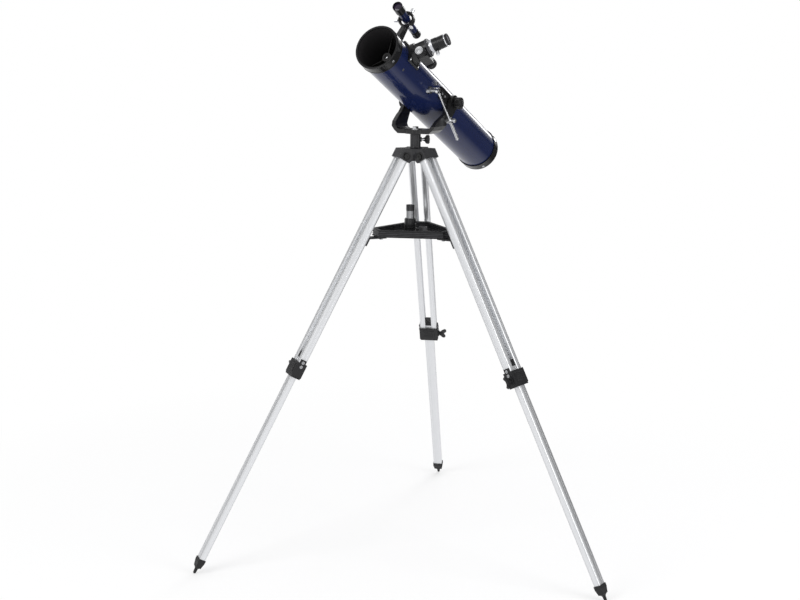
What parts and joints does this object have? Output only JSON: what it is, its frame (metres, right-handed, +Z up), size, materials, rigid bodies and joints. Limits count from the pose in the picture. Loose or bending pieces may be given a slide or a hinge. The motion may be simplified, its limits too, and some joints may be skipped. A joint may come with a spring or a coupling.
{
  "type": "telescope on tripod",
  "caption": "Reflecting telescope on a fork mount with altitude rod, focuser and finder, standing on an extending aluminium tripod with an accessory tray.",
  "frame": {"origin": "on the floor plane, under the middle of the bounding box", "axes": "+Z up; -Y towards the viewer, between the two front legs; the tube points to -Y and up"},
  "size_m": [1.0048, 0.8753, 1.374],
  "materials": {
    "black_plastic": "moulded, lightly grained",
    "black_enamel": "satin enamel",
    "satin_aluminium": "satin anodised, drawn",
    "bright_chrome": "polished",
    "eyepiece_black": "semi-gloss",
    "navy_gloss": "gloss lacquer",
    "finder_gloss": "gloss lacquer, black ends",
    "matt_black": "flat black",
    "mirror_coating": "aluminised",
    "coated_glass": "coated"
  },
  "bodies": {
    "stand": {"tripod_head": "black_plastic", "pillar": "black_plastic", "leg_hinge_bolts": "bright_chrome", "rails_back": "satin_aluminium", "rails_left": "satin_aluminium", "rails_right": "satin_aluminium", "leg_clamp_back": "black_plastic", "leg_clamp_left": "black_plastic", "leg_clamp_right": "black_plastic", "leg_clamp_screws": "bright_chrome", "tray_brackets": "black_plastic", "tray_bracket_bolts": "bright_chrome", "accessory_tray": "black_plastic"},
    "back_leg": {"lower_leg_back": "satin_aluminium", "leg_plug_back": "black_plastic", "foot_back": "black_plastic"},
    "left_leg": {"lower_leg_left": "satin_aluminium", "leg_plug_left": "black_plastic", "foot_left": "black_plastic"},
    "right_leg": {"lower_leg_right": "satin_aluminium", "leg_plug_right": "black_plastic", "foot_right": "black_plastic"},
    "back_leg_lock": {"leg_lock_back": "black_plastic"},
    "left_leg_lock": {"leg_lock_left": "black_plastic"},
    "right_leg_lock": {"leg_lock_right": "black_plastic"},
    "spare_eyepiece": {"tray_eyepiece": "eyepiece_black", "tray_eyepiece_barrel": "bright_chrome"},
    "loose_cap": {"eyepiece_cap": "black_plastic"},
    "azimuth_lock_screw": {"azimuth_lock": "black_plastic", "azimuth_lock_shaft": "bright_chrome"},
    "fork": {"fork_yoke": "black_enamel", "azimuth_spindle": "bright_chrome"},
    "near_knob": {"altitude_knob_near": "black_plastic"},
    "far_knob": {"altitude_knob_far": "black_plastic"},
    "tube": {"main_tube": "navy_gloss", "front_ring": "black_enamel", "rear_cap": "black_enamel", "mirror_cell": "satin_aluminium", "primary_mirror": "mirror_coating", "collimation_screws": "bright_chrome", "spider": "matt_black", "secondary_mirror": "mirror_coating", "tube_side_plates": "black_enamel", "altitude_bolts": "bright_chrome", "tube_screws": "bright_chrome", "focuser_housing": "black_enamel", "finder_bracket": "black_enamel", "rod_bracket": "bright_chrome", "finder_body": "finder_gloss", "finder_lenses": "coated_glass", "finder_screws": "bright_chrome"},
    "focus_drawtube": {"drawtube": "bright_chrome", "eyepiece_collar": "eyepiece_black"},
    "focus_control": {"focus_shaft": "bright_chrome", "focus_knobs": "black_plastic"},
    "eyepiece_set": {"eyepiece": "eyepiece_black", "eyepiece_lens": "coated_glass"},
    "eyepiece_lock": {"eyepiece_screw": "bright_chrome"},
    "rod": {"altitude_rod": "bright_chrome"},
    "rod_guide": {"rod_clamp": "bright_chrome"}
  },
  "joints": [
    {"name": "back_leg_slide", "type": "slide", "parent": "stand", "child": "back_leg", "axis": [0, -0.4741, 0.8805], "range_m": [0, 0.43]},
    {"name": "back_leg_lock_turn", "type": "hinge", "parent": "stand", "child": "back_leg_lock", "pos_m": [0.031, 0.1713, 0.49136], "axis": [1, 0, 0], "continuous": true},
    {"name": "left_leg_slide", "type": "slide", "parent": "stand", "child": "left_leg", "axis": [0.4106, 0.237, 0.8805], "range_m": [0, 0.43]},
    {"name": "left_leg_lock_turn", "type": "hinge", "parent": "stand", "child": "left_leg_lock", "pos_m": [-0.28611, -0.27056, 0.49136], "axis": [-0.5, 0.866, 0], "continuous": true},
    {"name": "right_leg_slide", "type": "slide", "parent": "stand", "child": "right_leg", "axis": [-0.4106, 0.237, 0.8805], "range_m": [0, 0.43]},
    {"name": "right_leg_lock_turn", "type": "hinge", "parent": "stand", "child": "right_leg_lock", "pos_m": [0.25511, -0.32426, 0.49136], "axis": [-0.5, -0.866, 0], "continuous": true},
    {"name": "spare_eyepiece_lift", "type": "slide", "parent": "stand", "child": "spare_eyepiece", "axis": [0, 0, 1], "range_m": [0, 0.08]},
    {"name": "loose_cap_lift", "type": "slide", "parent": "stand", "child": "loose_cap", "axis": [0, 0, 1], "range_m": [0, 0.08]},
    {"name": "azimuth_lock_turn", "type": "hinge", "parent": "stand", "child": "azimuth_lock_screw", "pos_m": [0.0198, -0.13839, 1.04755], "axis": [0.9903, 0.1392, 0], "continuous": true},
    {"name": "azimuth_turn", "type": "hinge", "parent": "stand", "child": "fork", "pos_m": [0, -0.14117, 1.06185], "axis": [0, 0, 1], "continuous": true},
    {"name": "altitude_tilt", "type": "hinge", "parent": "fork", "child": "tube", "pos_m": [0.02808, -0.0636, 1.13435], "axis": [-0.9403, 0.3404, 0], "range_deg": [-20, 28]},
    {"name": "near_knob_turn", "type": "hinge", "parent": "tube", "child": "near_knob", "pos_m": [0.0986, -0.08913, 1.13435], "axis": [0.9403, -0.3404, 0], "continuous": true},
    {"name": "far_knob_turn", "type": "hinge", "parent": "tube", "child": "far_knob", "pos_m": [-0.04244, -0.03807, 1.13435], "axis": [-0.9403, 0.3404, 0], "continuous": true},
    {"name": "rod_swivel", "type": "hinge", "parent": "fork", "child": "rod_guide", "pos_m": [0.08303, -0.12921, 1.0934], "axis": [-0.9403, 0.3404, 0], "range_deg": [-19.6, 27.2]},
    {"name": "rod_slide", "type": "slide", "parent": "rod_guide", "child": "rod", "axis": [-0.2304, -0.6365, 0.7361], "range_m": [-0.0213, 0.0294]},
    {"name": "focus_turn", "type": "hinge", "parent": "tube", "child": "focus_control", "pos_m": [0.04053, -0.27277, 1.24621], "axis": [0.3059, 0.8451, -0.4384], "range_deg": [0, 366.7]},
    {"name": "focus_slide", "type": "slide", "parent": "tube", "child": "focus_drawtube", "axis": [0.9105, -0.1252, 0.394], "range_m": [0, 0.032]},
    {"name": "eyepiece_pull", "type": "slide", "parent": "focus_drawtube", "child": "eyepiece_set", "axis": [0.9105, -0.1252, 0.394], "range_m": [0, 0.03]},
    {"name": "eyepiece_lock_turn", "type": "hinge", "parent": "focus_drawtube", "child": "eyepiece_lock", "pos_m": [0.06917, -0.2768, 1.25842], "axis": [0.2781, -0.5197, -0.8078], "continuous": true}
  ],
  "couplings": [
    {"joint": "rod_swivel", "follows": "altitude_tilt", "ratio": 0.95295},
    {"joint": "rod_slide", "follows": "altitude_tilt", "m_per_rad": 0.058165},
    {"joint": "focus_turn", "follows": "focus_slide", "rad_per_m": 200}
  ]
}
